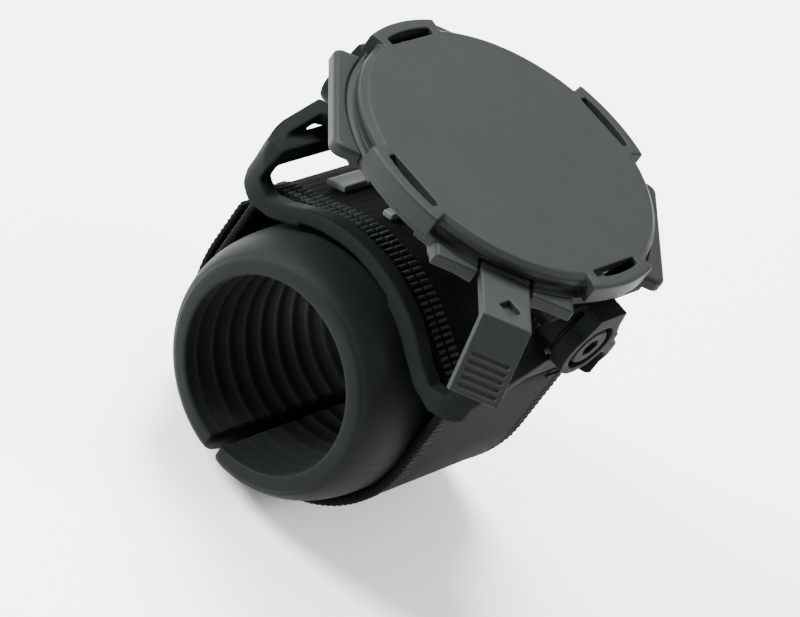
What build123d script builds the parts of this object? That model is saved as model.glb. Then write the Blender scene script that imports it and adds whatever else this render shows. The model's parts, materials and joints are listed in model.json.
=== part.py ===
from build123d import *
from math import cos, hypot, radians, sin
import os

# Strap-on handlebar phone mount. Millimetres.
# Origin on the handlebar axis, under the middle of the round seat.
# +X along the handlebar, +Y forward, +Z out of the seat.

os.makedirs("parts", exist_ok=True)

# ---------------------------------------------------------------- driving dimensions
bar_d = 31.8
pad_length = 54.4
pad_r = 21.9
pad_end_r = 17.0
pad_slit = 2.4
pad_crown_half = 13.5
pad_shoulder_x = 20.0
pad_shoulder_r = 21.6

strap_width = 32.4
strap_t = 1.8
crest_r = 24.5
strap_front_r = 24.0
strap_rear_r = 23.8
strap_low_r = 24.0
strap_lift_angle = 63.0
strap_shoulder_r = 3.5
tail_t = 1.4
tail_width = 30.0
patch_t = 0.7
patch_width = 24.0
patch_top = 8.0
patch_low_angle = -36.0
tail_top = 9.4
tail_low_angle = -40.0

rail_t = 3.2
frame_width = 40.0
front_length = 28.5
rear_length = 28.2
arch_t = 2.6
frame_corner_r = 7.0
inner_corner_r = 3.0
step_out = 7.2
inner_step_out = 8.8
step_in = 6.5
rail_low_r = 22.5
relief_r = 23.1
relief_start = 55.0
relief_end = 106.0
rail_low_angle = 52.0
rail_high_angle = 58.0
loop_base = 10.0
loop_height = 24.0
rail_high_r = 25.7
bar_in = 23.2
bar_out = 26.2
bar_z = 22.6
bar_h = 3.8
bar_corner_r = 0.6
keeper_t = 1.1
keeper_lift = 0.05
slope_keeper_y = 17.6
slope_keeper_half = 6.2
slope_keeper_width = 3.8
crest_keeper_angle = 73.4
crest_keeper_half = 7.8
crest_keeper_width = 1.9

hinge_z = 31.0
knuckle_r = 5.4
knuckle_in = 23.2
knuckle_out = 26.4
washer_t = 0.4
gap = 0.3
ear_r = 5.9
ear_out = 30.0
bolt_r = 2.0
bolt_head_r = 3.5
bolt_head_t = 1.3
bolt_seat = 28.6
bolt_bore_in = 22.0
bolt_chamfer = 0.3
socket_depth = 1.8
washer_inset = 0.4
neck_half = 3.4
yoke_width = 24.0
socket_r = 1.75
nut_r = 4.0
recess_r = 4.4
tube_r = 3.4
bushing_t = 0.7
running_fit = 0.06

face_z = 44.5
skin_t = 2.0
skirt_z = 39.4
floor_r = 26.4
floor_z = 38.2
groove_low_z = 41.3
groove_high_z = 42.3
groove_flare = 0.4
lip_top_z = 43.7
lip_r = 26.4
seat_r = 25.4
lug_low_z = 41.0
lug_fillet = 0.5
shelf_fillet = 0.7
yoke_z = 36.8
disc_r = 27.2
groove_r = 25.9
cavity_r = 24.3
slot_half = 5.3
slot_out = 26.2
lug_out = 28.3
lug_half_angle = 16.0
shelf_r = 29.3
shelf_half = 12.1
shelf_corner_r = 1.8
shelf_in = 27.3
shelf_root = 28.2
lever_shelf_r = 27.9
shelf_top = 41.0
shelf_low = 38.8
post_r = 3.0

lever_angle = -135.0
lever_width = 8.4
lever_clearance = 0.6
notch_in = 22.0
notch_length = 22.0
lever_t = 1.5
lever_bend_r = 36.8
lever_tip_r = 43.6
lever_tip_z = 30.5
lever_pin_r = 24.9
lever_pin_z = 40.3
lever_barrel_r = 1.0
pin_r = 0.55
lever_pin_length = 13.4
pin_room = 6.0
lever_nose_r = 22.6
lever_nose_t = 0.8
lever_rise = 2.2
pocket_r = 33.3
pocket_side = 2.7
pocket_shift = 0.6
pocket_depth = 1.1
groove_count = 5
groove_pitch = 1.25
groove_first = 1.3
groove_cut_r = 0.42
groove_half = 3.3
leaf_in = 16.05
leaf_knee = 19.0
leaf_out = 23.2
leaf_t = 0.2
leaf_width = 4.0

ring_low = 41.3
ring_t = 0.9
ring_in = 20.0
ring_out = 23.9
pawl_out = 25.9
pawl_start = 0.8
pawl_end = 10.4
pawl_root = 21.0
spoke_width = 3.0
hub_r = 5.0
spring_r = 7.5
spring_wire = 0.5
spring_pitch = 0.55
spring_height = 1.1
screw_circle_r = 14.0
screw_r = 1.1
screw_head_r = 2.0
screw_head_t = 1.2
screw_socket_r = 0.9
screw_socket_depth = 0.8
screw_tip_gap = 0.4
centre_socket_r = 1.2
centre_screw_r = 1.5
centre_head_r = 2.6

# ---------------------------------------------------------------- shared places
far = 60.0
ear_in = knuckle_out + washer_t + gap
cavity_top = face_z - skin_t
notch_half = lever_width / 2 + lever_clearance
along = Vector(cos(radians(lever_angle)), sin(radians(lever_angle)), 0)
lever_side = Plane(origin=(0, 0, 0), x_dir=along, z_dir=along.cross(Vector(0, 0, 1)))


def finish(builder, name):
    """Name the finished sub-part and write its STEP file."""
    builder.part.label = name
    export_step(builder.part, f"parts/{name}.step")


def cross_plane(y):
    """Plane across the hinge axis at this Y: sketch x is X, sketch y is Z."""
    return Plane.XZ.offset(-y)


def polar(r, angle):
    """Point at this radius and angle in degrees."""
    return (r * cos(radians(angle)), r * sin(radians(angle)))


def both_ends(inner, outer):
    """Start planes of a feature that runs from inner to outer at both hinge ends."""
    return [cross_plane(inner), cross_plane(-outer)]


# ---------------------------------------------------------------- bar pad
with BuildPart() as bar_pad:
    half = pad_length / 2
    with BuildSketch(Plane.XY):
        with BuildLine():
            Line((-pad_crown_half, pad_r), (pad_crown_half, pad_r))
            Spline(
                (pad_crown_half, pad_r), (pad_shoulder_x, pad_shoulder_r), (half, pad_end_r),
                tangents=[(1, 0), (0.75, -1)],
            )
            Polyline((half, pad_end_r), (half, bar_d / 2), (-half, bar_d / 2), (-half, pad_end_r))
            Spline(
                (-half, pad_end_r), (-pad_shoulder_x, pad_shoulder_r), (-pad_crown_half, pad_r),
                tangents=[(0.75, 1), (1, 0)],
            )
        make_face()
    revolve(axis=Axis.X)
    with BuildSketch(Plane.XY.offset(-bar_d)):
        Rectangle(pad_length + 2, pad_slit)
    extrude(amount=bar_d, mode=Mode.SUBTRACT)
finish(bar_pad, "bar_pad")

# ---------------------------------------------------------------- strap around the pad
lift = polar(crest_r, strap_lift_angle)
slope = (sin(radians(strap_lift_angle)), -cos(radians(strap_lift_angle)))


def shoulder(reach):
    """Height at which the sloping webbing reaches this distance from the bar's axis plane."""
    return lift[1] + slope[1] * (reach - lift[0]) / slope[0]


rear_lift = (-lift[0], lift[1])
front_shoulder = (strap_front_r, shoulder(strap_front_r))
rear_shoulder = (-strap_rear_r, shoulder(strap_rear_r))
with BuildPart() as strap_band:
    with BuildSketch(Plane.YZ.offset(-strap_width / 2)):
        with BuildLine():
            ThreePointArc(lift, (0, crest_r), rear_lift)
            Polyline(rear_lift, rear_shoulder, (-strap_rear_r, 0))
            TangentArc((-strap_rear_r, 0), (0, -strap_low_r), tangent=(0, -1))
            TangentArc((strap_front_r, 0), (0, -strap_low_r), tangent=(0, -1))
            Polyline((strap_front_r, 0), front_shoulder, lift)
        outline = make_face()
        shoulders = [v for v in outline.vertices() if v.Y > 1 and abs(v.X) > strap_rear_r - 1]
        fillet(shoulders, radius=strap_shoulder_r)
        offset(amount=-strap_t, mode=Mode.SUBTRACT)
    extrude(amount=strap_width)
finish(strap_band, "strap_band")

# The free end of the webbing lies over the band in front, on a sewn hook patch.
def front_wrap(inner, outer, top, low_angle):
    """Side outline of a layer that follows the front of the band down to low_angle."""
    with BuildLine() as wrap:
        Line((inner, top), (inner, 0))
        ThreePointArc((inner, 0), polar(inner, low_angle / 2), polar(inner, low_angle))
        Line(polar(inner, low_angle), polar(outer, low_angle))
        ThreePointArc(polar(outer, low_angle), polar(outer, low_angle / 2), (outer, 0))
        Polyline((outer, 0), (outer, top), (inner, top))
    return make_face(wrap.edges())


patch_out = strap_front_r + patch_t
with BuildPart() as hook_patch:
    with BuildSketch(Plane.YZ.offset(-patch_width / 2)):
        front_wrap(strap_front_r, patch_out, patch_top, patch_low_angle)
    extrude(amount=patch_width)
finish(hook_patch, "hook_patch")

with BuildPart() as strap_tail:
    with BuildSketch(Plane.YZ.offset(-tail_width / 2)):
        front_wrap(patch_out, patch_out + tail_t, tail_top, tail_low_angle)
    extrude(amount=tail_width)
finish(strap_tail, "strap_tail")

# ---------------------------------------------------------------- saddle frame
low_turn = polar(rail_low_r, rail_low_angle)
low_middle = polar(rail_low_r, 90)
high_turn = polar(rail_high_r, rail_high_angle)
rail_under = [low_turn, (17.9, 15.2), (22.1, 14.2), (25.8, 14.8), (front_length, 17.0)]
rail_over = [(front_length, 19.5), (24.5, 19.2), (20.3, 17.6), (17.2, 19.1), high_turn]
half_width = frame_width / 2
inner_x = half_width - rail_t
climb_over = [(20.0, 16.5), (20.0, 20.2), (18.6, 22.7), (16.2, 24.3), (6.5, 29.1)]
climb_under = [
    (inner_x, 16.5), (inner_x, 18.6), (15.6, 21.0), (13.2, 23.2), (9.2, 25.3), (6.0, 26.5),
]
arch_over = climb_over + [(0, 31.5)] + [(-x, z) for x, z in climb_over[::-1]]
arch_under = climb_under + [(0, 27.4)] + [(-x, z) for x, z in climb_under[::-1]]


def loop_points(side, front, rear, hinge, step):
    """Corner points of the loop seen from above, closed, with its ends stepped to the hinge."""
    ahead = [(side, front), (step, front), (step_in, hinge)]
    behind = [(step_in, -hinge), (step, -rear), (side, -rear)]
    left = [(-x, y) for x, y in ahead[::-1]] + [(-x, y) for x, y in behind[::-1]]
    return ahead + left + behind + ahead[:1]


with BuildPart() as saddle_frame:
    # Side rails: arcs over the pad that flatten out towards the ends.
    with BuildSketch(Plane.YZ):
        with BuildLine():
            ThreePointArc((-low_turn[0], low_turn[1]), low_middle, low_turn)
            Polyline(*rail_under, *rail_over)
            ThreePointArc(high_turn, (0, rail_high_r), (-high_turn[0], high_turn[1]))
            Polyline(*[(-y, z) for y, z in rail_over[::-1] + rail_under[::-1]])
        make_face()
    extrude(amount=half_width, both=True)
    # Over the crest the rails are relieved underneath.
    with BuildSketch(Plane.YZ) as relief:
        Circle(relief_r)
        with BuildLine():
            Polyline((0, 0), polar(far, relief_start), polar(far, relief_end), (0, 0))
        make_face(mode=Mode.INTERSECT)
    extrude(amount=half_width, both=True, mode=Mode.SUBTRACT)
    # End arches: they climb from the corners to the hinge.
    with BuildSketch(*both_ends(knuckle_in, front_length)):
        with BuildLine():
            Polyline(*arch_over, *arch_under[::-1], arch_over[0])
        make_face()
    extrude(amount=-(front_length - knuckle_in))
    # The opening under each arch lets the webbing through.
    with BuildSketch(cross_plane(-front_length)):
        with BuildLine():
            Polyline((inner_x, loop_base), *arch_under, (-inner_x, loop_base), (inner_x, loop_base))
        make_face()
    extrude(amount=-2 * front_length, mode=Mode.SUBTRACT)
    # Seen from above the loop has rounded corners and a step in each end at the hinge.
    with BuildSketch(Plane.XY.offset(loop_base)) as loop:
        with BuildLine():
            Polyline(*loop_points(half_width, front_length, rear_length, knuckle_out, step_out))
        make_face()
        corners = loop.vertices().filter_by(lambda v: abs(v.X) > half_width - 1)
        fillet(corners, radius=frame_corner_r)
    extrude(amount=loop_height, mode=Mode.INTERSECT)
    with BuildSketch(Plane.XY.offset(loop_base)) as window:
        with BuildLine():
            Polyline(
                *loop_points(
                    inner_x, front_length - arch_t, rear_length - arch_t, knuckle_in, inner_step_out,
                )
            )
        make_face()
        corners = window.vertices().filter_by(lambda v: abs(v.X) > inner_x - 1)
        fillet(corners, radius=inner_corner_r)
    extrude(amount=loop_height, mode=Mode.SUBTRACT)
    # Knuckles for the tilt bolt.
    with BuildSketch(*both_ends(knuckle_in, knuckle_out)):
        with Locations((0, hinge_z)):
            Circle(knuckle_r)
    extrude(amount=-(knuckle_out - knuckle_in))
    # Cross bars that the webbing runs under.
    with BuildSketch(*both_ends(bar_in, bar_out)):
        with Locations((0, bar_z)):
            RectangleRounded(2 * half_width - rail_t, bar_h, bar_corner_r)
    extrude(amount=-(bar_out - bar_in))
    with BuildSketch(*both_ends(bolt_bore_in, front_length)):
        with Locations((0, hinge_z)):
            Circle(bolt_r)
    extrude(amount=-(front_length - bolt_bore_in), mode=Mode.SUBTRACT)
finish(saddle_frame, "saddle_frame")

# ---------------------------------------------------------------- strap keepers
# Two light cross ribs over the webbing, between the strap and the hinge tube.
keeper_offset = keeper_t / 2 + keeper_lift
crest_place = polar(crest_r + keeper_offset, crest_keeper_angle)
slope_foot = Vector(slope_keeper_y, shoulder(slope_keeper_y))
slope_place = slope_foot + Vector(-slope[1], slope[0]) * keeper_offset
with BuildPart() as strap_keepers:
    with BuildSketch(Plane.YZ.offset(-slope_keeper_half)):
        with Locations(Location((slope_place.X, slope_place.Y, 0), (0, 0, strap_lift_angle - 90))):
            Rectangle(slope_keeper_width, keeper_t)
    extrude(amount=2 * slope_keeper_half)
    with BuildSketch(Plane.YZ.offset(-crest_keeper_half)):
        with Locations(Location((*crest_place, 0), (0, 0, crest_keeper_angle - 90))):
            Rectangle(crest_keeper_width, keeper_t)
    extrude(amount=2 * crest_keeper_half)
finish(strap_keepers, "strap_keepers")

# ---------------------------------------------------------------- tilt hinge hardware
with BuildPart() as pivot_bolt:
    with BuildSketch(cross_plane(-bolt_seat)):
        with Locations((0, hinge_z)):
            Circle(bolt_r)
    extrude(amount=-2 * bolt_seat - bolt_head_t)
    with BuildSketch(cross_plane(-bolt_seat - bolt_head_t)):
        with Locations((0, hinge_z)):
            Circle(bolt_head_r)
    extrude(amount=-bolt_head_t)
    with BuildSketch(cross_plane(-bolt_seat - bolt_head_t)):
        with Locations((0, hinge_z)):
            RegularPolygon(radius=socket_r, side_count=6)
    extrude(amount=-socket_depth, mode=Mode.SUBTRACT)
    rims = pivot_bolt.edges().filter_by(GeomType.CIRCLE).group_by(Axis.Y)[0]
    chamfer(rims.sort_by(SortBy.RADIUS)[-1:], length=bolt_chamfer)
finish(pivot_bolt, "pivot_bolt")

with BuildPart() as pivot_nut:
    with BuildSketch(cross_plane(bolt_seat)):
        with Locations((0, hinge_z)):
            RegularPolygon(radius=nut_r, side_count=6)
            Circle(bolt_r, mode=Mode.SUBTRACT)
    extrude(amount=-bolt_head_t)
finish(pivot_nut, "pivot_nut")

with BuildPart() as friction_washers:
    with BuildSketch(*both_ends(knuckle_out, knuckle_out + washer_t)):
        with Locations((0, hinge_z)):
            Circle(knuckle_r - washer_inset)
            Circle(bolt_r, mode=Mode.SUBTRACT)
    extrude(amount=-washer_t)
finish(friction_washers, "friction_washers")

with BuildPart() as hinge_tube:
    with BuildSketch(cross_plane(-knuckle_in)):
        with Locations((0, hinge_z)):
            Circle(tube_r)
            Circle(bolt_r, mode=Mode.SUBTRACT)
    extrude(amount=-2 * knuckle_in)
finish(hinge_tube, "hinge_tube")

with BuildPart() as pivot_bushings:
    with BuildSketch(*both_ends(ear_in, bolt_seat - gap)):
        with Locations((0, hinge_z)):
            Circle(bolt_r + running_fit + bushing_t)
            Circle(bolt_r + running_fit, mode=Mode.SUBTRACT)
    extrude(amount=-(bolt_seat - gap - ear_in))
finish(pivot_bushings, "pivot_bushings")

# ---------------------------------------------------------------- tilt yoke
ear_plate_t = ear_out - ear_in
with BuildPart() as tilt_yoke:
    with BuildSketch(Plane.XY.offset(yoke_z)):
        Rectangle(yoke_width, 2 * knuckle_out)
        Rectangle(2 * neck_half, 2 * ear_out)
    extrude(amount=floor_z - yoke_z)
    with BuildSketch(*both_ends(ear_in, ear_out)):
        with Locations((0, hinge_z)):
            Circle(ear_r)
        with BuildLine():
            Polyline(
                (-ear_r, hinge_z), (-neck_half, floor_z), (neck_half, floor_z), (ear_r, hinge_z),
                (-ear_r, hinge_z),
            )
        make_face()
    extrude(amount=-ear_plate_t)
    with BuildSketch(*both_ends(bolt_seat - gap, ear_out)):
        with Locations((0, hinge_z)):
            Circle(recess_r)
    extrude(amount=-(ear_out - bolt_seat + gap), mode=Mode.SUBTRACT)
    with BuildSketch(cross_plane(-ear_out)):
        with Locations((0, hinge_z)):
            Circle(bolt_r + running_fit + bushing_t)
    extrude(amount=-2 * ear_out, mode=Mode.SUBTRACT)
    with BuildSketch(Plane.XY.offset(yoke_z)):
        with PolarLocations(screw_circle_r, 4, start_angle=45):
            Circle(screw_r)
        Circle(centre_screw_r)
    extrude(amount=floor_z - yoke_z, mode=Mode.SUBTRACT)
finish(tilt_yoke, "tilt_yoke")

# ---------------------------------------------------------------- head plate
with BuildPart() as head_plate:
    with BuildSketch(Plane.XY.offset(floor_z)):
        with PolarLocations(shelf_root / 2, 4, start_angle=45):
            Rectangle(shelf_root, 2 * shelf_half)
        Circle(shelf_root, mode=Mode.INTERSECT)
        Circle(floor_r)
    extrude(amount=skirt_z - floor_z)
    # Four straight shelves on the diagonals.
    with BuildSketch(Plane.XY.offset(shelf_low)):
        with PolarLocations(0, 4, start_angle=45):
            with Locations((shelf_r / 2, 0)):
                Rectangle(shelf_r, 2 * shelf_half)
        Circle(shelf_in, mode=Mode.SUBTRACT)
    extrude(amount=shelf_top - shelf_low)
    uprights = head_plate.edges().filter_by(Axis.Z)
    ends = uprights.filter_by(lambda e: hypot(e.center().X, e.center().Y) > shelf_r + 1)
    fillet(ends, radius=shelf_corner_r)
    outer_sides = head_plate.faces().filter_by(Plane.XY, reverse=True)
    outer_sides = outer_sides.filter_by(GeomType.PLANE).filter_by(lambda f: f.area > 40)
    top_edges = [side.edges().sort_by(Axis.Z)[-1] for side in outer_sides]
    fillet(top_edges, radius=shelf_fillet)
    # The shelf at the lever is set back.
    with BuildSketch(Plane.XY.offset(floor_z)):
        with Locations(Location((0, 0, 0), (0, 0, lever_angle))):
            with Locations((lever_shelf_r + shelf_in / 2, 0)):
                Rectangle(shelf_in, 3 * shelf_half)
    extrude(amount=shelf_top - floor_z, mode=Mode.SUBTRACT)
    # Notch and clearance for the release lever.
    with BuildSketch(Plane.XY.offset(floor_z)):
        with Locations(Location((0, 0, 0), (0, 0, lever_angle))):
            with Locations((notch_in + notch_length / 2, 0)):
                Rectangle(notch_length, 2 * notch_half)
    extrude(amount=shelf_top - floor_z, mode=Mode.SUBTRACT)
    # Slots and screw holes.
    with BuildSketch(Plane.XY.offset(floor_z)):
        with PolarLocations((cavity_r + shelf_root) / 2, 4):
            Rectangle(shelf_root - cavity_r, 2 * slot_half)
        with PolarLocations(screw_circle_r, 4, start_angle=45):
            Circle(screw_r)
        Circle(centre_screw_r)
    extrude(amount=skirt_z - floor_z, mode=Mode.SUBTRACT)
finish(head_plate, "head_plate")

# ---------------------------------------------------------------- bayonet disc
with BuildPart() as bayonet_disc:
    with BuildSketch(Plane.XZ):
        with BuildLine():
            Polyline(
                (0, cavity_top), (cavity_r, cavity_top), (cavity_r, skirt_z), (disc_r, skirt_z),
                (disc_r, groove_low_z - groove_flare), (groove_r, groove_low_z),
                (groove_r, groove_high_z), (lip_r, groove_high_z + groove_flare),
                (lip_r, lip_top_z), (seat_r, face_z), (0, face_z), (0, cavity_top),
            )
        make_face()
    revolve(axis=Axis.Z)
    # Lugs outside the slots.
    with BuildSketch(Plane.XY.offset(lug_low_z)):
        with PolarLocations(0, 4):
            Polygon(
                (0, 0), polar(far, -lug_half_angle), polar(far, lug_half_angle), align=None
            )
        Circle(lug_out, mode=Mode.INTERSECT)
        Circle(cavity_r, mode=Mode.SUBTRACT)
    extrude(amount=face_z - lug_low_z)
    lug_edges = bayonet_disc.edges().filter_by(GeomType.CIRCLE).group_by(Axis.Z)[-1]
    fillet(lug_edges.filter_by(lambda e: e.radius > lug_out - 0.1), radius=lug_fillet)
    # Slots for the tabs of a phone case, open from the seat down.
    with BuildSketch(Plane.XY.offset(skirt_z)):
        with PolarLocations((cavity_r + slot_out) / 2, 4):
            Rectangle(slot_out - cavity_r, 2 * slot_half)
        Circle(slot_out, mode=Mode.INTERSECT)
    extrude(amount=face_z - skirt_z, mode=Mode.SUBTRACT)
    with BuildSketch(Plane.XY.offset(skirt_z)):
        with PolarLocations(cavity_r, 4):
            Rectangle(2.0, 2 * slot_half)
    extrude(amount=cavity_top - skirt_z, mode=Mode.SUBTRACT)
    # Centre post and screw bosses.
    with BuildSketch(Plane.XY.offset(skirt_z)):
        Circle(post_r)
        with PolarLocations(screw_circle_r, 4, start_angle=45):
            Circle(screw_head_r)
    extrude(amount=cavity_top - skirt_z)
    with BuildSketch(Plane.XY.offset(skirt_z)):
        Circle(centre_screw_r)
        with PolarLocations(screw_circle_r, 4, start_angle=45):
            Circle(screw_r)
    extrude(amount=cavity_top - skirt_z, mode=Mode.SUBTRACT)
    # Room for the lever, and the holes that hold its pin.
    with BuildSketch(Plane.XY.offset(skirt_z)):
        with Locations(Location((0, 0, 0), (0, 0, lever_angle))):
            with Locations((lever_pin_r, 0)):
                Rectangle(pin_room, 2 * notch_half)
    extrude(amount=lever_pin_z + lever_barrel_r + gap - skirt_z, mode=Mode.SUBTRACT)
    with BuildSketch(lever_side):
        with Locations((lever_pin_r, lever_pin_z)):
            Circle(pin_r)
    extrude(amount=lever_pin_length / 2, both=True, mode=Mode.SUBTRACT)
finish(bayonet_disc, "bayonet_disc")

# ---------------------------------------------------------------- screws of the head
screw_tip_z = cavity_top - screw_tip_gap
with BuildPart() as disc_screws:
    with BuildSketch(Plane.XY.offset(yoke_z)):
        with PolarLocations(screw_circle_r, 4, start_angle=45):
            Circle(screw_r)
    extrude(amount=screw_tip_z - yoke_z)
    with BuildSketch(Plane.XY.offset(yoke_z - screw_head_t)):
        with PolarLocations(screw_circle_r, 4, start_angle=45):
            Circle(screw_head_r)
    extrude(amount=screw_head_t)
    with BuildSketch(Plane.XY.offset(yoke_z - screw_head_t)):
        with PolarLocations(screw_circle_r, 4, start_angle=45):
            RegularPolygon(radius=screw_socket_r, side_count=6)
    extrude(amount=screw_socket_depth, mode=Mode.SUBTRACT)
finish(disc_screws, "disc_screws")

with BuildPart() as centre_screw:
    with BuildSketch(Plane.XY.offset(yoke_z)):
        Circle(centre_screw_r)
    extrude(amount=screw_tip_z - yoke_z)
    with BuildSketch(Plane.XY.offset(yoke_z - screw_head_t)):
        Circle(centre_head_r)
    extrude(amount=screw_head_t)
    with BuildSketch(Plane.XY.offset(yoke_z - screw_head_t)):
        RegularPolygon(radius=centre_socket_r, side_count=6)
    extrude(amount=screw_socket_depth, mode=Mode.SUBTRACT)
finish(centre_screw, "centre_screw")

# ---------------------------------------------------------------- lock ring
with BuildPart() as lock_ring:
    with BuildSketch(Plane.XY.offset(ring_low)):
        Circle(ring_out)
        Circle(ring_in, mode=Mode.SUBTRACT)
        # Each pawl fills one half of its slot while the lock is closed.
        with PolarLocations(0, 4):
            Polygon(
                (pawl_root, 0), polar(pawl_out, -pawl_start), polar(pawl_out, -pawl_end),
                polar(pawl_root, -pawl_end), align=None,
            )
        Rectangle(ring_in + ring_out, spoke_width)
        Circle(hub_r)
        Circle(post_r + running_fit, mode=Mode.SUBTRACT)
    extrude(amount=ring_t)
finish(lock_ring, "lock_ring")

with BuildPart() as lock_spring:
    with BuildLine():
        Helix(
            pitch=spring_pitch, height=spring_height, radius=spring_r,
            center=(0, 0, skirt_z + spring_wire),
        )
    with BuildSketch(Plane.XZ):
        with Locations((spring_r, skirt_z + spring_wire)):
            Circle(spring_wire / 2)
    sweep()
finish(lock_spring, "lock_spring")

# ---------------------------------------------------------------- release lever
drop = Vector(lever_tip_r - lever_bend_r, lever_tip_z - shelf_top)
fall = drop.normalized()
inward = Vector(fall.Y, -fall.X)
with BuildPart() as release_lever:
    tip = Vector(lever_tip_r, lever_tip_z)
    tip_low = tip + inward * lever_t
    bend = Vector(lever_bend_r, shelf_top)
    under = shelf_top - lever_t
    bend_low_r = tip_low.X + fall.X * (under - tip_low.Y) / fall.Y
    with BuildSketch(lever_side):
        with BuildLine():
            Polyline(
                (lever_nose_r, under), (lever_nose_r, under + lever_nose_t),
                (lever_pin_r, under + lever_nose_t),
                (lever_pin_r + lever_rise, shelf_top), (bend.X, bend.Y), (tip.X, tip.Y),
                (tip_low.X, tip_low.Y), (bend_low_r, under), (lever_nose_r, under),
            )
        make_face()
        with Locations((lever_pin_r, lever_pin_z)):
            Circle(lever_barrel_r)
    extrude(amount=lever_width / 2, both=True)
    # Square pocket in the upper plate.
    with BuildSketch(Plane(origin=(0, 0, shelf_top), x_dir=along, z_dir=(0, 0, 1))):
        with Locations(Location((pocket_r, pocket_shift, 0), (0, 0, 45))):
            Rectangle(pocket_side, pocket_side)
    extrude(amount=-pocket_depth, mode=Mode.SUBTRACT)
    # Finger grooves across the lower half of the slope.
    with BuildSketch(lever_side):
        for index in range(groove_count):
            place = tip - fall * (groove_first + index * groove_pitch)
            with Locations((place.X, place.Y)):
                Circle(groove_cut_r)
    extrude(amount=groove_half, both=True, mode=Mode.SUBTRACT)
    with BuildSketch(lever_side):
        with Locations((lever_pin_r, lever_pin_z)):
            Circle(pin_r + running_fit)
    extrude(amount=lever_width / 2, both=True, mode=Mode.SUBTRACT)
finish(release_lever, "release_lever")

with BuildPart() as lever_pin:
    with BuildSketch(lever_side):
        with Locations((lever_pin_r, lever_pin_z)):
            Circle(pin_r)
    extrude(amount=lever_pin_length / 2, both=True)
finish(lever_pin, "lever_pin")

# Leaf spring over the nose of the lever, held by the screw boss behind it.
leaf_rest_z = shelf_top - lever_t + lever_nose_t + 0.1
leaf_root_z = leaf_rest_z + 2 * leaf_t
with BuildPart() as lever_spring:
    with BuildSketch(lever_side):
        with BuildLine():
            Polyline(
                (leaf_in, leaf_root_z), (leaf_knee, leaf_root_z), (leaf_out, leaf_rest_z),
                (leaf_out, leaf_rest_z + leaf_t), (leaf_knee, leaf_root_z + leaf_t),
                (leaf_in, leaf_root_z + leaf_t), (leaf_in, leaf_root_z),
            )
        make_face()
    extrude(amount=leaf_width / 2, both=True)
finish(lever_spring, "lever_spring")
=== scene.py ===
import json
import math

import bmesh
import bpy
import numpy as np
from mathutils import Matrix, Vector


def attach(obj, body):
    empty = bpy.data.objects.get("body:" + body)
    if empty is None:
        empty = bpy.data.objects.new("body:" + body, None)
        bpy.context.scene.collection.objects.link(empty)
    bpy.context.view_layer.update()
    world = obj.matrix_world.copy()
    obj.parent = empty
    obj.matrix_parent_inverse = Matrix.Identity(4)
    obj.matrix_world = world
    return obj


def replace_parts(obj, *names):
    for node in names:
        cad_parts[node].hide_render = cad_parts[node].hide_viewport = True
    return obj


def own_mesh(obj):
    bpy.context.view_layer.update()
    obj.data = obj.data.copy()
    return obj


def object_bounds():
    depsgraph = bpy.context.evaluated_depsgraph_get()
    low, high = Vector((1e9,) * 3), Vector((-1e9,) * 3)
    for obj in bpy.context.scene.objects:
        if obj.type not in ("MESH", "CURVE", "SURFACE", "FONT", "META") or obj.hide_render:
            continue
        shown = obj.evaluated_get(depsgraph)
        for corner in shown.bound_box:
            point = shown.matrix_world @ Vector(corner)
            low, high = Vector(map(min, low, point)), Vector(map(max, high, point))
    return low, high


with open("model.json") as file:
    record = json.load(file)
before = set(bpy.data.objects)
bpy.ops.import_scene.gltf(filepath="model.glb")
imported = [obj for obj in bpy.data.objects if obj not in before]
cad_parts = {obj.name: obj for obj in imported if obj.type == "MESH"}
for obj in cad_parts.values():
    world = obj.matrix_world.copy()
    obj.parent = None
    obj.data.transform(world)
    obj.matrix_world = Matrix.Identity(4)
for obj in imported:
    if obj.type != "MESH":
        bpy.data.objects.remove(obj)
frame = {"nodes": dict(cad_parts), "record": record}
cad_low, cad_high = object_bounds()
nodes = frame["nodes"]

MM = 0.001  # lengths below are in millimetres, except in the materials and the studio

# The strap: a closed band, with a hook patch and a free end on its front.
STRAP_HALF = 16.2
STRAP_T = 1.8
CREST_R = 24.5
LIFT_ANGLE = 63.0
FRONT_R = 24.0
REAR_R = 23.8
LOW_R = 24.0
PATCH_HALF = 12.0
PATCH_T = 0.7
PATCH_TOP = 8.0
PATCH_LOW_ANGLE = -36
TAIL_HALF = 15.0
TAIL_T = 1.4
TAIL_TOP = 9.4
TAIL_LOW_ANGLE = -40

# Webbing in general: its points along and across, its edges and its weave.
SPACING = 0.16
ACROSS_SPACING = 0.25
BACK_POINTS = 12
BACK_SHARE = 0.985
BAND_EASE = 17
LAYER_EASE = 8
EDGE_R = 0.5
SINK = 0.2
CLEARANCE = 0.2
PATCH_SINK = 0.08
PATCH_CLEARANCE = 0.1
WEAVE_ACROSS = 0.8
WEAVE_ALONG = 0.9
STRAP_WEAVE = 0.012
TAIL_WEAVE = 0.02
HOOK_PITCH = 0.7
HOOK_RISE = 0.05

# Ribs: two rows of teeth on each side of the crest, and one row along the edges elsewhere.
TOOTH_PITCH = 1.13
EDGE_PITCH = 1.15
TOOTH_START = 0.3
TOOTH_FULL = 0.8
RIB_ROWS = ((12.95, 15.15), (10.25, 12.45))
EDGE_ROW = (13.7, 15.9)
TAIL_ROW = (12.4, 14.6)
ROW_SOFT = 0.2
RIB_LEVEL = 0.45
EDGE_RIB_SHARE = 0.9
CREST_LOW = 12.0
CREST_HIGH = 14.0
LOW_RIB_DEPTH = 0.14
CREST_RIB_DEPTH = 0.42
TAIL_RIB_DEPTH = 0.2

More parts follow.
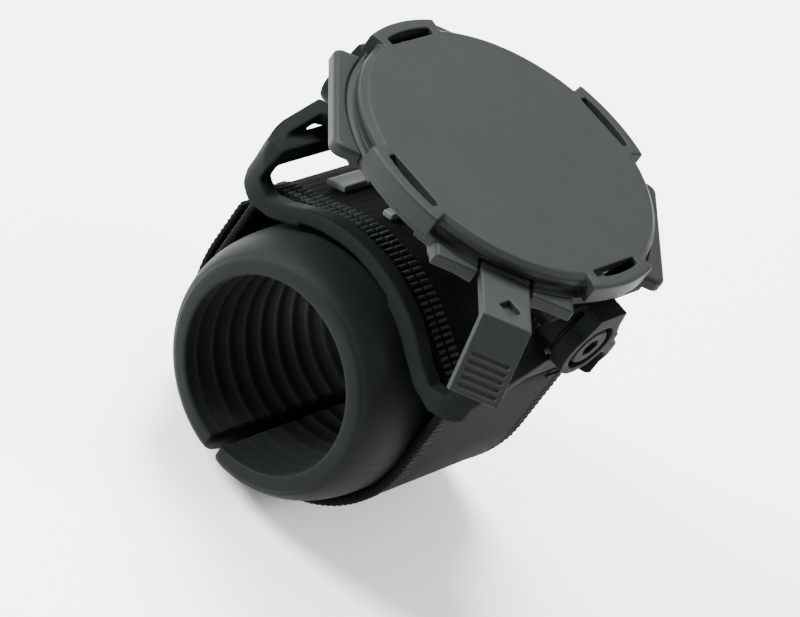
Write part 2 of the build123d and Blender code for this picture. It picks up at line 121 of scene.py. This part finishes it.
# The hem of the free end, and the two seams that close it.
HEM_START = -2.0
HEM_END = 4.2
HEM_SOFT = 0.25
HEM_RIB_END = 4.5
HEM_RISE = 0.12
SEAMS = (0.9, 3.5)
SEAM_HALF = 0.2
SEAM_SOFT = 0.15
STITCH_SIDES = 6
STITCH_LENGTH = 1.5
STITCH_T = 0.2
STITCH_PITCH = 2.1
STITCH_MARGIN = 1.2
STITCH_SHAPE = ((0.0, 0.2), (0.15, 0.9), (0.5, 1.0), (0.85, 0.9), (1.0, 0.2))

# The rubber pad: a slit sleeve with rounded shoulders and rings in its bore.
PAD_HALF = 27.2
PAD_R = 21.9
PAD_END_R = 17.0
PAD_BORE_R = 15.95
PAD_CROWN_HALF = 13.5
SLIT_HALF = 1.2
SLIT_DROP = 0.3
SLIT_REACH = 1.5
SHOULDER_SQUARENESS = 2.6
SHOULDER_FULLNESS = 0.42
LIP_GROOVE_X = 26.55
LIP_GROOVE_HALF = 0.16
LIP_GROOVE_DEPTH = 0.22
RING_PITCH = 4.0
RING_RISE = 0.25
RING_SHARPNESS = 3
RING_FADE_START = 2.0
RING_FADE_END = 1.0
ROLL_WIDTH = 0.4
OUTER_ROLL = 0.35
INNER_ROLL = 0.3
MOULD_LINES = (0.25, 0.75)
MOULD_LINE_RISE = 0.07
MOULD_LINE_SHARPNESS = 600
PROFILE_POINTS = 150
PROFILE_GATHER = 0.55
TURN_POINTS = 300

# Moulded CAD parts with rounded edges: the size of their even mesh, and smoothing passes.
SOFTENED = (
    ("saddle_frame", 0.22, 16),
    ("strap_keepers", 0.14, 6),
    ("release_lever", 0.14, 4),
    ("tilt_yoke", 0.2, 5),
    ("head_plate", 0.18, 4),
    ("bayonet_disc", 0.18, 3),
)

# The studio, in metres. A light is its name, place, size and power.
LIGHTS = (
    ("key", (-0.5, 0.62, 0.45), 0.3, 30.0),
    ("top", (0.25, 0.45, 0.95), 0.5, 41.0),
    ("fill", (0.5, -0.6, 0.6), 0.35, 7.0),
)
SKY_COLOUR = (0.97, 0.985, 1.0, 1.0)
SKY_STRENGTH = 1.15
FLOOR_COLOUR = (0.96, 0.96, 0.96, 1.0)
FLOOR_NEAR = -2.2
FLOOR_HALF_WIDTH = 3.0
COVE_START = 1.4
COVE_R = 0.6
WALL_TOP = 3.0
CAMERA_PLACE = (-0.5094, -0.1983, 0.3867)
CAMERA_UP = (0.2096, 0.7236, 0.6576)
LENS = 188.0
SENSOR_WIDTH = 36.0


# ---------------------------------------------------------------- node helpers
def new_material(name):
    """An empty node material: returns it with its tree, its shader and its object coordinates."""
    material = bpy.data.materials.new(name)
    material.use_nodes = True
    tree = material.node_tree
    shader = tree.nodes["Principled BSDF"]
    coords = tree.nodes.new("ShaderNodeTexCoord").outputs["Object"]
    return material, tree, shader, coords


def noise(tree, coords, scale, detail=4.0, roughness=0.5):
    node = tree.nodes.new("ShaderNodeTexNoise")
    node.inputs["Scale"].default_value = scale
    node.inputs["Detail"].default_value = detail
    node.inputs["Roughness"].default_value = roughness
    tree.links.new(coords, node.inputs["Vector"])
    return node.outputs["Fac"]


def ramp(tree, value, stops):
    """Colour ramp from (position, colour) stops."""
    node = tree.nodes.new("ShaderNodeValToRGB")
    elements = node.color_ramp.elements
    while len(elements) < len(stops):
        elements.new(0.5)
    for element, (position, colour) in zip(elements, stops):
        element.position = position
        element.color = (*colour, 1.0)
    tree.links.new(value, node.inputs["Fac"])
    return node.outputs["Color"]


def grey_range(tree, value, low, high):
    """Maps a 0 to 1 value to low to high."""
    node = tree.nodes.new("ShaderNodeMapRange")
    node.inputs["To Min"].default_value = low
    node.inputs["To Max"].default_value = high
    tree.links.new(value, node.inputs["Value"])
    return node.outputs["Result"]


def bump(tree, height, distance, strength=1.0, normal=None):
    """A bumped normal, on top of another one where it is given."""
    node = tree.nodes.new("ShaderNodeBump")
    node.inputs["Strength"].default_value = strength
    node.inputs["Distance"].default_value = distance
    tree.links.new(height, node.inputs["Height"])
    if normal is not None:
        tree.links.new(normal, node.inputs["Normal"])
    return node.outputs["Normal"]


def scaled(colour, factor):
    return tuple(channel * factor for channel in colour)


# ---------------------------------------------------------------- materials
def moulded_plastic(name, colour, roughness=0.5, grain=0.00003, gloss=0.2):
    """Satin moulded plastic: fine spark-eroded grain, cloudy tone and faint handling scuffs."""
    material, tree, shader, coords = new_material(name)
    cloud = noise(tree, coords, 90.0, 3.0)
    tone = ramp(tree, cloud, [(0.3, scaled(colour, 0.95)), (0.7, scaled(colour, 1.05))])
    tree.links.new(tone, shader.inputs["Base Color"])
    scuff = noise(tree, coords, 420.0, 6.0, 0.7)
    scuffed = grey_range(tree, scuff, roughness - 0.1, roughness + 0.12)
    tree.links.new(scuffed, shader.inputs["Roughness"])
    fine = noise(tree, coords, 6500.0, 2.0)
    broad = noise(tree, coords, 700.0, 3.0)
    rough_skin = bump(tree, fine, grain)
    tree.links.new(bump(tree, broad, grain * 1.5, 0.5, rough_skin), shader.inputs["Normal"])
    shader.inputs["Specular IOR Level"].default_value = gloss
    return material


def soft_rubber(name, colour):
    """Moulded rubber: matte, slightly waxy, with a powdery bloom and fine pores."""
    material, tree, shader, coords = new_material(name)
    bloom = noise(tree, coords, 70.0, 5.0, 0.6)
    tone = ramp(tree, bloom, [(0.25, scaled(colour, 0.8)), (0.75, scaled(colour, 1.18))])
    tree.links.new(tone, shader.inputs["Base Color"])
    pores = noise(tree, coords, 5200.0, 3.0)
    tree.links.new(grey_range(tree, bloom, 0.48, 0.66), shader.inputs["Roughness"])
    tree.links.new(bump(tree, pores, 0.00004), shader.inputs["Normal"])
    shader.inputs["Sheen Weight"].default_value = 0.01
    shader.inputs["Specular IOR Level"].default_value = 0.05
    return material


def threads(tree, coords, direction):
    """Parallel threads, side by side in one direction."""
    wave = tree.nodes.new("ShaderNodeTexWave")
    wave.bands_direction = direction
    wave.inputs["Scale"].default_value = 420.0
    wave.inputs["Distortion"].default_value = 0.6
    wave.inputs["Detail"].default_value = 1.0
    tree.links.new(coords, wave.inputs["Vector"])
    return wave.outputs["Fac"]


def webbing_weave(name, colour, relief=0.00007):
    """Tight woven webbing: a two-way thread pattern with fuzz."""
    material, tree, shader, coords = new_material(name)
    crossing = tree.nodes.new("ShaderNodeMath")
    crossing.operation = "MULTIPLY"
    for place, direction in enumerate(("X", "Z")):
        tree.links.new(threads(tree, coords, direction), crossing.inputs[place])
    weave = crossing.outputs["Value"]
    tone = ramp(tree, weave, [(0.1, scaled(colour, 0.8)), (0.8, scaled(colour, 1.25))])
    tree.links.new(tone, shader.inputs["Base Color"])
    shader.inputs["Roughness"].default_value = 0.72
    fuzz = noise(tree, coords, 3000.0, 3.0)
    under = bump(tree, weave, relief)
    tree.links.new(bump(tree, fuzz, 0.00005, 0.6, under), shader.inputs["Normal"])
    shader.inputs["Sheen Weight"].default_value = 0.006
    shader.inputs["Specular IOR Level"].default_value = 0.03
    return material


def plain_steel(name, colour):
    """Zinc-plated steel: cloudy, with a fine grain."""
    material, tree, shader, coords = new_material(name)
    shader.inputs["Metallic"].default_value = 1.0
    cloud = noise(tree, coords, 500.0, 4.0)
    tone = ramp(tree, cloud, [(0.3, scaled(colour, 0.8)), (0.7, scaled(colour, 1.1))])
    tree.links.new(tone, shader.inputs["Base Color"])
    tree.links.new(grey_range(tree, cloud, 0.28, 0.45), shader.inputs["Roughness"])
    tree.links.new(bump(tree, noise(tree, coords, 4000.0), 0.00002), shader.inputs["Normal"])
    return material


def black_steel(name, colour):
    """Black-oxide steel: dark and slightly oily, with paler worn patches."""
    material, tree, shader, coords = new_material(name)
    shader.inputs["Metallic"].default_value = 0.02
    cloud = noise(tree, coords, 650.0, 5.0, 0.6)
    tone = ramp(tree, cloud, [(0.3, scaled(colour, 0.7)), (0.75, scaled(colour, 1.4))])
    tree.links.new(tone, shader.inputs["Base Color"])
    tree.links.new(grey_range(tree, cloud, 0.4, 0.55), shader.inputs["Roughness"])
    shader.inputs["Specular IOR Level"].default_value = 0.01
    tree.links.new(bump(tree, noise(tree, coords, 3500.0), 0.00002), shader.inputs["Normal"])
    return material


def hook_loop(name, colour):
    """Hook tape: tiny hooks, close together on a woven ground."""
    material, tree, shader, coords = new_material(name)
    cells = tree.nodes.new("ShaderNodeTexVoronoi")
    cells.inputs["Scale"].default_value = 900.0
    tree.links.new(coords, cells.inputs["Vector"])
    spots = cells.outputs["Distance"]
    tone = ramp(tree, spots, [(0.1, scaled(colour, 1.8)), (0.6, scaled(colour, 0.6))])
    tree.links.new(tone, shader.inputs["Base Color"])
    shader.inputs["Roughness"].default_value = 0.8
    tree.links.new(bump(tree, spots, 0.0003), shader.inputs["Normal"])
    return material


def studio_paper(name, colour):
    """Plain matte paper."""
    material, _, shader, _ = new_material(name)
    shader.inputs["Base Color"].default_value = colour
    shader.inputs["Roughness"].default_value = 0.9
    return material


HEAD = moulded_plastic("head_plastic", (0.0082, 0.0096, 0.0097), gloss=0.085)
LEVER = moulded_plastic("lever_plastic", (0.0098, 0.0113, 0.0113), gloss=0.11)
FRAME = moulded_plastic("frame_plastic", (0.0055, 0.007, 0.0066), gloss=0.01)
LIGHT = moulded_plastic("light_plastic", (0.055, 0.066, 0.062), roughness=0.45)
RUBBER = soft_rubber("pad_rubber", (0.0036, 0.0052, 0.0046))
WEBBING = webbing_weave("strap_webbing", (0.0016, 0.0026, 0.0023))
RIBBING = webbing_weave("strap_ribs", (0.017, 0.021, 0.0205), relief=0.00002)
THREAD = webbing_weave("stitch_thread", (0.03, 0.034, 0.033))
HOOKS = hook_loop("hook_tape", (0.012, 0.014, 0.014))
STEEL = plain_steel("zinc_steel", (0.32, 0.33, 0.33))
BLACKED = black_steel("black_steel", (0.006, 0.007, 0.007))

SLOT_MATERIALS = {
    "head_plastic": HEAD,
    "lever_plastic": LEVER,
    "frame_plastic": FRAME,
    "light_plastic": LIGHT,
    "rubber": RUBBER,
    "webbing": WEBBING,
    "steel": STEEL,
}
# The bolt, nut and pin are black-oxide steel; the friction washers get the same near-black steel
# as painted shade over the hinge's end
BLACK_OXIDE_AND_SHADE_NODES = ("pivot_bolt", "pivot_nut", "lever_pin", "friction_washers")


def dress(name, material):
    """Gives a CAD node one material."""
    nodes[name].data.materials.clear()
    nodes[name].data.materials.append(material)


# ---------------------------------------------------------------- softened moulded parts
def soften(name, voxel, passes):
    """Rounds every edge of a moulded CAD part the way a mould does, with modifiers only."""
    node = nodes[name]
    remesh = node.modifiers.new("even_mesh", "REMESH")
    remesh.mode = "VOXEL"
    remesh.voxel_size = voxel * MM
    remesh.use_smooth_shade = True
    smooth = node.modifiers.new("round_edges", "SMOOTH")
    smooth.factor = 0.5
    smooth.iterations = passes


# ---------------------------------------------------------------- mesh helpers
def add_piece(name, points, faces, body, materials, face_slots=None):
    """A smooth mesh object that rides on a body. Points are in millimetres."""
    mesh = bpy.data.meshes.new(name)
    mesh.from_pydata([tuple(point) for point in np.asarray(points) * MM], [], faces)
    for material in materials:
        mesh.materials.append(material)
    if face_slots is not None:
        mesh.polygons.foreach_set("material_index", face_slots)
    mesh.polygons.foreach_set("use_smooth", [True] * len(mesh.polygons))
    mesh.update()
    piece = bpy.data.objects.new(name, mesh)
    bpy.context.scene.collection.objects.link(piece)
    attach(piece, body)
    return piece


def ring_faces(rows, columns, close_rows, close_columns):
    """Quads of a grid of rows x columns points, wrapped round either way."""
    row_steps = rows if close_rows else rows - 1
    column_steps = columns if close_columns else columns - 1
    faces = []
    for i in range(row_steps):
        here = i * columns
        ahead = ((i + 1) % rows) * columns
        for j in range(column_steps):
            k = (j + 1) % columns
            faces.append((here + j, here + k, ahead + k, ahead + j))
    return faces


def smooth_step(value, start, end):
    """0 before the start and 1 past the end, with an S curve between them."""
    t = np.clip((value - start) / (end - start), 0.0, 1.0)
    return t * t * (3 - 2 * t)


def window(value, low, high, soft=0.35):
    """1 between low and high and 0 outside, with soft edges."""
    rise = smooth_step(value, low - soft, low + soft)
    fall = smooth_step(value, high - soft, high + soft)
    return rise * (1 - fall)


# ---------------------------------------------------------------- paths round the bar
def arc(radius, start, end, step=2.0):
    """Points on an arc about the bar's axis, as (y, z), from start to end degrees."""
    turns = np.radians(np.linspace(start, end, max(2, int(abs(end - start) / step) + 1)))
    return np.column_stack((radius * np.cos(turns), radius * np.sin(turns)))


def even(path, closed):
    """The path again, with its points evenly spaced."""
    if closed:
        path = np.vstack((path, path[:1]))
    gaps = np.linalg.norm(np.diff(path, axis=0), axis=1)
    run = np.concatenate(([0.0], np.cumsum(gaps)))
    count = int(round(run[-1] / SPACING))
    wanted = np.linspace(0.0, run[-1], count + 1)
    if closed:
        wanted = wanted[:-1]
    return np.column_stack([np.interp(wanted, run, path[:, axis]) for axis in (0, 1)])


def eased(path, reach, closed):
    """The path with its corners eased over this many points each way."""
    mode = "wrap" if closed else "edge"
    kernel = np.hanning(2 * reach + 3)[1:-1]
    kernel /= kernel.sum()
    padded = np.pad(path, ((reach, reach), (0, 0)), mode=mode)
    return np.column_stack(
        [np.convolve(padded[:, axis], kernel, mode="valid") for axis in (0, 1)]
    )


def outward(path, closed):
    """Unit normals of an anticlockwise path, pointing away from the bar."""
    if closed:
        along = np.roll(path, -1, axis=0) - np.roll(path, 1, axis=0)
    else:
        along = np.gradient(path, axis=0)
    along /= np.linalg.norm(along, axis=1)[:, None]
    return np.column_stack((along[:, 1], -along[:, 0]))


def shoulder(reach):
    """Height at which the sloping webbing is this far from the bar's axis plane."""
    turn = math.radians(LIFT_ANGLE)
    return CREST_R * math.sin(turn) - (reach - CREST_R * math.cos(turn)) / math.tan(turn)


def band_path():
    """Outer line of the closed strap, anticlockwise, from the middle of the bottom."""
    front_low = arc(LOW_R, -90, 0)
    crest = arc(CREST_R, LIFT_ANGLE, 180 - LIFT_ANGLE)
    rear_low = arc(LOW_R, 180, 270)[1:-1] + (LOW_R - REAR_R, 0.0)
    front_corner = [(FRONT_R, shoulder(FRONT_R))]
    rear_corner = [(-REAR_R, shoulder(REAR_R))]
    rough = np.vstack((front_low, front_corner, crest, rear_corner, rear_low))
    return eased(even(rough, True), BAND_EASE, True)


def layer_path(radius, top, low_angle):
    """Outer line of a layer on the front of the band, from its low end up."""
    rough = np.vstack((arc(radius, low_angle, 0), [(radius, top)]))
    return eased(even(rough, False), LAYER_EASE, False)


strap_line = band_path()
strap_runs = np.arange(len(strap_line)) * SPACING
strap_heights = strap_line[:, 1]
patch_line = layer_path(FRONT_R + PATCH_T, PATCH_TOP, PATCH_LOW_ANGLE)
tail_line = layer_path(FRONT_R + PATCH_T + TAIL_T, TAIL_TOP, TAIL_LOW_ANGLE)
tail_length = len(tail_line) * SPACING


# ---------------------------------------------------------------- webbing
def webbing_piece(
    name, path, closed, half, thickness, height, ribs=None, materials=(WEBBING, RIBBING)
):
    """A flat woven band that follows a path, its outer face raised by height(x, run)."""
    front_points = int(2 * half / ACROSS_SPACING)
    across = np.linspace(-half, half, front_points)
    back = np.linspace(half, -half, BACK_POINTS)
    normals = outward(path, closed)
    run = np.arange(len(path)) * SPACING
    edge = np.clip(np.abs(across) - (half - EDGE_R), 0.0, EDGE_R)
    rounding = EDGE_R - np.sqrt(EDGE_R**2 - edge**2)
    grid_x, grid_run = np.meshgrid(across, run)
    lift = height(grid_x, grid_run) - rounding[None, :]
    rows = len(path)
    columns = front_points + BACK_POINTS
    points = np.zeros((rows, columns, 3))
    points[:, :front_points, 0] = across
    points[:, front_points:, 0] = back * BACK_SHARE
    for axis in (0, 1):
        outer = path[:, axis, None] + normals[:, axis, None] * lift
        inner = path[:, axis] - normals[:, axis] * thickness
        points[:, :front_points, axis + 1] = outer
        points[:, front_points:, axis + 1] = inner[:, None]
    faces = ring_faces(rows, columns, closed, True)
    if not closed:
        faces.append(tuple(range(columns))[::-1])
        faces.append(tuple((rows - 1) * columns + j for j in range(columns)))
    slots = np.zeros(len(faces), dtype=int)
    if ribs is not None:
        ribbed = (ribs(grid_x, grid_run) > RIB_LEVEL).astype(int)
        for row in range(rows if closed else rows - 1):
            start = row * columns
            slots[start : start + front_points] = ribbed[row]
    return add_piece(name, points.reshape(-1, 3), faces, "base", materials, slots)


def tooth(run, pitch):
    """0 in the gap between two ribs, 1 along the middle of a rib."""
    wave = 0.5 + 0.5 * np.cos(2 * math.pi * run / pitch)
    return smooth_step(wave, TOOTH_START, TOOTH_FULL)


def ripple(x, run, across, along):
    """The shallow waves of a weave, from -1 to 1."""
    return np.sin(2 * math.pi * x / across) * np.sin(2 * math.pi * run / along)


def over_crest(run):
    """1 where the band passes over the crest, 0 where it lies lower."""
    return smooth_step(np.interp(run, strap_runs, strap_heights), CREST_LOW, CREST_HIGH)


def strap_ribs(x, run):
    """Where the band is ribbed: two rows of short teeth over the crest, fine ribs at the edges."""
    crest = over_crest(run)
    reach = np.abs(x)
    rows = sum(window(reach, low, high, ROW_SOFT) for low, high in RIB_ROWS)
    edge_row = window(reach, *EDGE_ROW, ROW_SOFT) * tooth(run, EDGE_PITCH)
    return crest * rows * tooth(run, TOOTH_PITCH) + (1 - crest) * edge_row * EDGE_RIB_SHARE


def strap_height(x, run):
    depth = LOW_RIB_DEPTH + (CREST_RIB_DEPTH - LOW_RIB_DEPTH) * over_crest(run)
    weave = STRAP_WEAVE * ripple(x, run, WEAVE_ACROSS, WEAVE_ALONG)
    return depth * strap_ribs(x, run) + weave - SINK


def patch_height(x, run):
    return HOOK_RISE * ripple(x, run, HOOK_PITCH, HOOK_PITCH) - PATCH_SINK


def tail_ribs(x, run):
    """Fine ribs along the tail's edges, with none in its hem or at its other end."""
    hem = window(run, HEM_START, HEM_RIB_END)
    end = window(run, tail_length - 1.0, tail_length + 2.0)
    free = np.clip(1 - hem - end, 0, 1)
    return window(np.abs(x), *TAIL_ROW, ROW_SOFT) * tooth(run, EDGE_PITCH) * free


def tail_height(x, run):
    hem = window(run, HEM_START, HEM_END, HEM_SOFT)
    seams = sum(window(run, seam - SEAM_HALF, seam + SEAM_HALF, SEAM_SOFT) for seam in SEAMS)
    weave = TAIL_WEAVE * ripple(x, run, WEAVE_ACROSS, WEAVE_ALONG)
    return TAIL_RIB_DEPTH * tail_ribs(x, run) + HEM_RISE * (hem - seams) + weave - SINK


def make_band():
    return webbing_piece(
        "woven_strap", strap_line, True, STRAP_HALF, STRAP_T - CLEARANCE, strap_height, strap_ribs
    )


def make_patch():
    return webbing_piece(
        "hook_tape", patch_line, False, PATCH_HALF, PATCH_T - PATCH_CLEARANCE, patch_height,
        materials=(HOOKS,),
    )


def make_tail():
    return webbing_piece(
        "woven_tail", tail_line, False, TAIL_HALF, TAIL_T - CLEARANCE, tail_height, tail_ribs
    )


def stitch_points(x, place, normal):
    """One lock stitch along X: rings of points that swell and rise towards its middle."""
    points = []
    for step, swell in STITCH_SHAPE:
        for side in range(STITCH_SIDES):
            turn = 2 * math.pi * side / STITCH_SIDES
            rise = 0.5 * STITCH_T * math.sin(turn) * swell + 0.05 - abs(step - 0.5) * 0.25
            slide = 0.8 * STITCH_T * math.cos(turn) * swell
            y = place[0] + normal[0] * rise - normal[1] * slide
            z = place[1] + normal[1] * rise + normal[0] * slide
            points.append((x + step * STITCH_LENGTH, y, z))
    return points


def make_stitches():
    """Two rows of lock stitches that close the hem of the tail."""
    points = []
    faces = []
    normals = outward(tail_line, False)
    one_stitch = ring_faces(len(STITCH_SHAPE), STITCH_SIDES, False, True)
    reach = TAIL_HALF - STITCH_MARGIN
    for seam in SEAMS:
        index = int(seam / SPACING)
        for x in np.arange(-reach, reach, STITCH_PITCH):
            base = len(points)
            points += stitch_points(x, tail_line[index], normals[index])
            faces += [tuple(base + corner for corner in face) for face in one_stitch]
    return add_piece("tail_stitches", points, faces, "base", [THREAD])


# ---------------------------------------------------------------- rubber pad
def pad_radius(x):
    """Outer radius of the pad: flat under the strap, then a full rounded shoulder."""
    out = np.clip((np.abs(x) - PAD_CROWN_HALF) / (PAD_HALF - PAD_CROWN_HALF), 0.0, 1.0)
    swell = (1 - out**SHOULDER_SQUARENESS) ** SHOULDER_FULLNESS
    off_groove = (np.abs(x) - LIP_GROOVE_X) / LIP_GROOVE_HALF
    lip_groove = LIP_GROOVE_DEPTH * np.exp(-(off_groove**2))
    return PAD_END_R + (PAD_R - PAD_END_R) * swell - lip_groove


def pad_profile():
    """Closed section of the pad's wall, as x and radius: along its skin, then back in its bore."""
    spread = np.sin(np.linspace(-math.pi / 2, math.pi / 2, PROFILE_POINTS))
    steady = np.linspace(-1, 1, PROFILE_POINTS)
    xs = PAD_HALF * (PROFILE_GATHER * spread + (1 - PROFILE_GATHER) * steady)
    roll = np.clip((np.abs(xs) - (PAD_HALF - ROLL_WIDTH)) / ROLL_WIDTH, 0.0, 1.0)
    outer = pad_radius(xs) - OUTER_ROLL * roll**2
    rings = RING_RISE * (0.5 + 0.5 * np.cos(2 * math.pi * xs / RING_PITCH)) ** RING_SHARPNESS
    ends = smooth_step(np.abs(xs), PAD_HALF - RING_FADE_START, PAD_HALF - RING_FADE_END)
    inner = PAD_BORE_R + rings * (1 - ends) + INNER_ROLL * roll**2
    return np.concatenate((xs, xs[::-1])), np.concatenate((outer, inner[::-1]))


def mould_line(share):
    """1 on the two lines where the mould's halves met, and 0 away from them."""
    return sum(np.exp(-(((share - line) * MOULD_LINE_SHARPNESS) ** 2)) for line in MOULD_LINES)


def slit_drop(step):
    """How far the skin rounds down beside the slit."""
    left = TURN_POINTS - 1 - step
    return SLIT_DROP * abs(np.exp(-step / SLIT_REACH) - np.exp(-left / SLIT_REACH))


def make_pad():
    """The pad's section turned about the bar, from one side of the slit to the other."""
    profile_x, profile_r = pad_profile()
    slit = np.arcsin(SLIT_HALF / profile_r)
    rows = []
    for step in range(TURN_POINTS):
        share = step / (TURN_POINTS - 1)
        angle = -math.pi / 2 + slit + share * (2 * math.pi - 2 * slit)
        radius = profile_r.copy()
        radius[:PROFILE_POINTS] += MOULD_LINE_RISE * mould_line(share) - slit_drop(step)
        rows.append(
            np.column_stack((profile_x, radius * np.cos(angle), radius * np.sin(angle)))
        )
    width = 2 * PROFILE_POINTS
    faces = ring_faces(TURN_POINTS, width, False, True)
    for start in (0, (TURN_POINTS - 1) * width):
        for j in range(PROFILE_POINTS - 1):
            quad = (start + j, start + j + 1, start + width - 2 - j, start + width - 1 - j)
            faces.append(quad if start else quad[::-1])
    return add_piece("rubber_pad", np.vstack(rows), faces, "base", [RUBBER])


# ---------------------------------------------------------------- leaf spring
def flexing_leaf():
    """The lever's leaf spring as a piece of its own that rides on the head."""
    leaf = bpy.data.objects.new("leaf_strip", nodes["lever_spring"].data.copy())
    bpy.context.scene.collection.objects.link(leaf)
    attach(leaf, "head")
    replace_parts(leaf, "lever_spring")
    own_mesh(leaf)


# ---------------------------------------------------------------- floor, light and camera
def make_floor():
    """A wide pale floor that curves up behind the object into a backdrop."""
    level = cad_low.z
    mesh = bpy.data.meshes.new("studio_floor")
    shape = bmesh.new()
    profile = [(FLOOR_NEAR, 0.0)]
    profile += [
        (COVE_START + COVE_R * math.sin(turn), COVE_R - COVE_R * math.cos(turn))
        for turn in (math.radians(step * 10) for step in range(10))
    ]
    profile.append((COVE_START + COVE_R, WALL_TOP))
    sides = (-FLOOR_HALF_WIDTH, FLOOR_HALF_WIDTH)
    rows = [[shape.verts.new((x, y, level + z)) for x, z in profile] for y in sides]
    for left, right in zip(zip(rows[0], rows[0][1:]), zip(rows[1], rows[1][1:])):
        shape.faces.new((left[0], left[1], right[1], right[0]))
    shape.to_mesh(mesh)
    shape.free()
    mesh.polygons.foreach_set("use_smooth", [True] * len(mesh.polygons))
    floor = bpy.data.objects.new("studio_floor", mesh)
    bpy.context.scene.collection.objects.link(floor)
    mesh.materials.append(studio_paper("floor_paper", FLOOR_COLOUR))


def area_light(name, place, size, power, target):
    """A round area light that faces the target."""
    light = bpy.data.lights.new(name, "AREA")
    light.shape = "DISK"
    light.size = size
    light.energy = power
    lamp = bpy.data.objects.new(name, light)
    lamp.location = place
    lamp.rotation_euler = (Vector(target) - Vector(place)).to_track_quat("-Z", "Y").to_euler()
    bpy.context.scene.collection.objects.link(lamp)


def make_lights():
    middle = (cad_low + cad_high) / 2
    for name, place, size, power in LIGHTS:
        area_light(name, place, size, power, middle)
    world = bpy.data.worlds.new("studio")
    world.use_nodes = True
    world.node_tree.nodes["Background"].inputs["Color"].default_value = SKY_COLOUR
    world.node_tree.nodes["Background"].inputs["Strength"].default_value = SKY_STRENGTH
    bpy.context.scene.world = world


def make_camera():
    """The photographer's place: left of the object, a little behind it and well above."""
    place = Vector(CAMERA_PLACE)
    target = (cad_low + cad_high) / 2
    camera = bpy.data.cameras.new("camera")
    camera.sensor_width = SENSOR_WIDTH
    camera.lens = LENS
    shooter = bpy.data.objects.new("camera", camera)
    forward = (target - place).normalized()
    right = forward.cross(Vector(CAMERA_UP)).normalized()
    up = right.cross(forward)
    turn = Matrix((right, up, -forward)).transposed().to_4x4()
    shooter.matrix_world = Matrix.Translation(place) @ turn
    bpy.context.scene.collection.objects.link(shooter)
    bpy.context.scene.camera = shooter


for subpart in frame["record"]["subparts"]:
    dress(subpart["node"], SLOT_MATERIALS[subpart["material_slot"]])
# Near-black steel: the real finish of the bolt, nut and pin, and painted shade on the friction
# washers
for darkened_name in BLACK_OXIDE_AND_SHADE_NODES:
    dress(darkened_name, BLACKED)
for softened_name, voxel_size, smoothing_passes in SOFTENED:
    soften(softened_name, voxel_size, smoothing_passes)

band = make_band()
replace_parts(band, "strap_band")
patch = make_patch()
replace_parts(patch, "hook_patch")
tail = make_tail()
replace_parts(tail, "strap_tail")
make_stitches()
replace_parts(make_pad(), "bar_pad")
flexing_leaf()

make_floor()
make_lights()
make_camera()
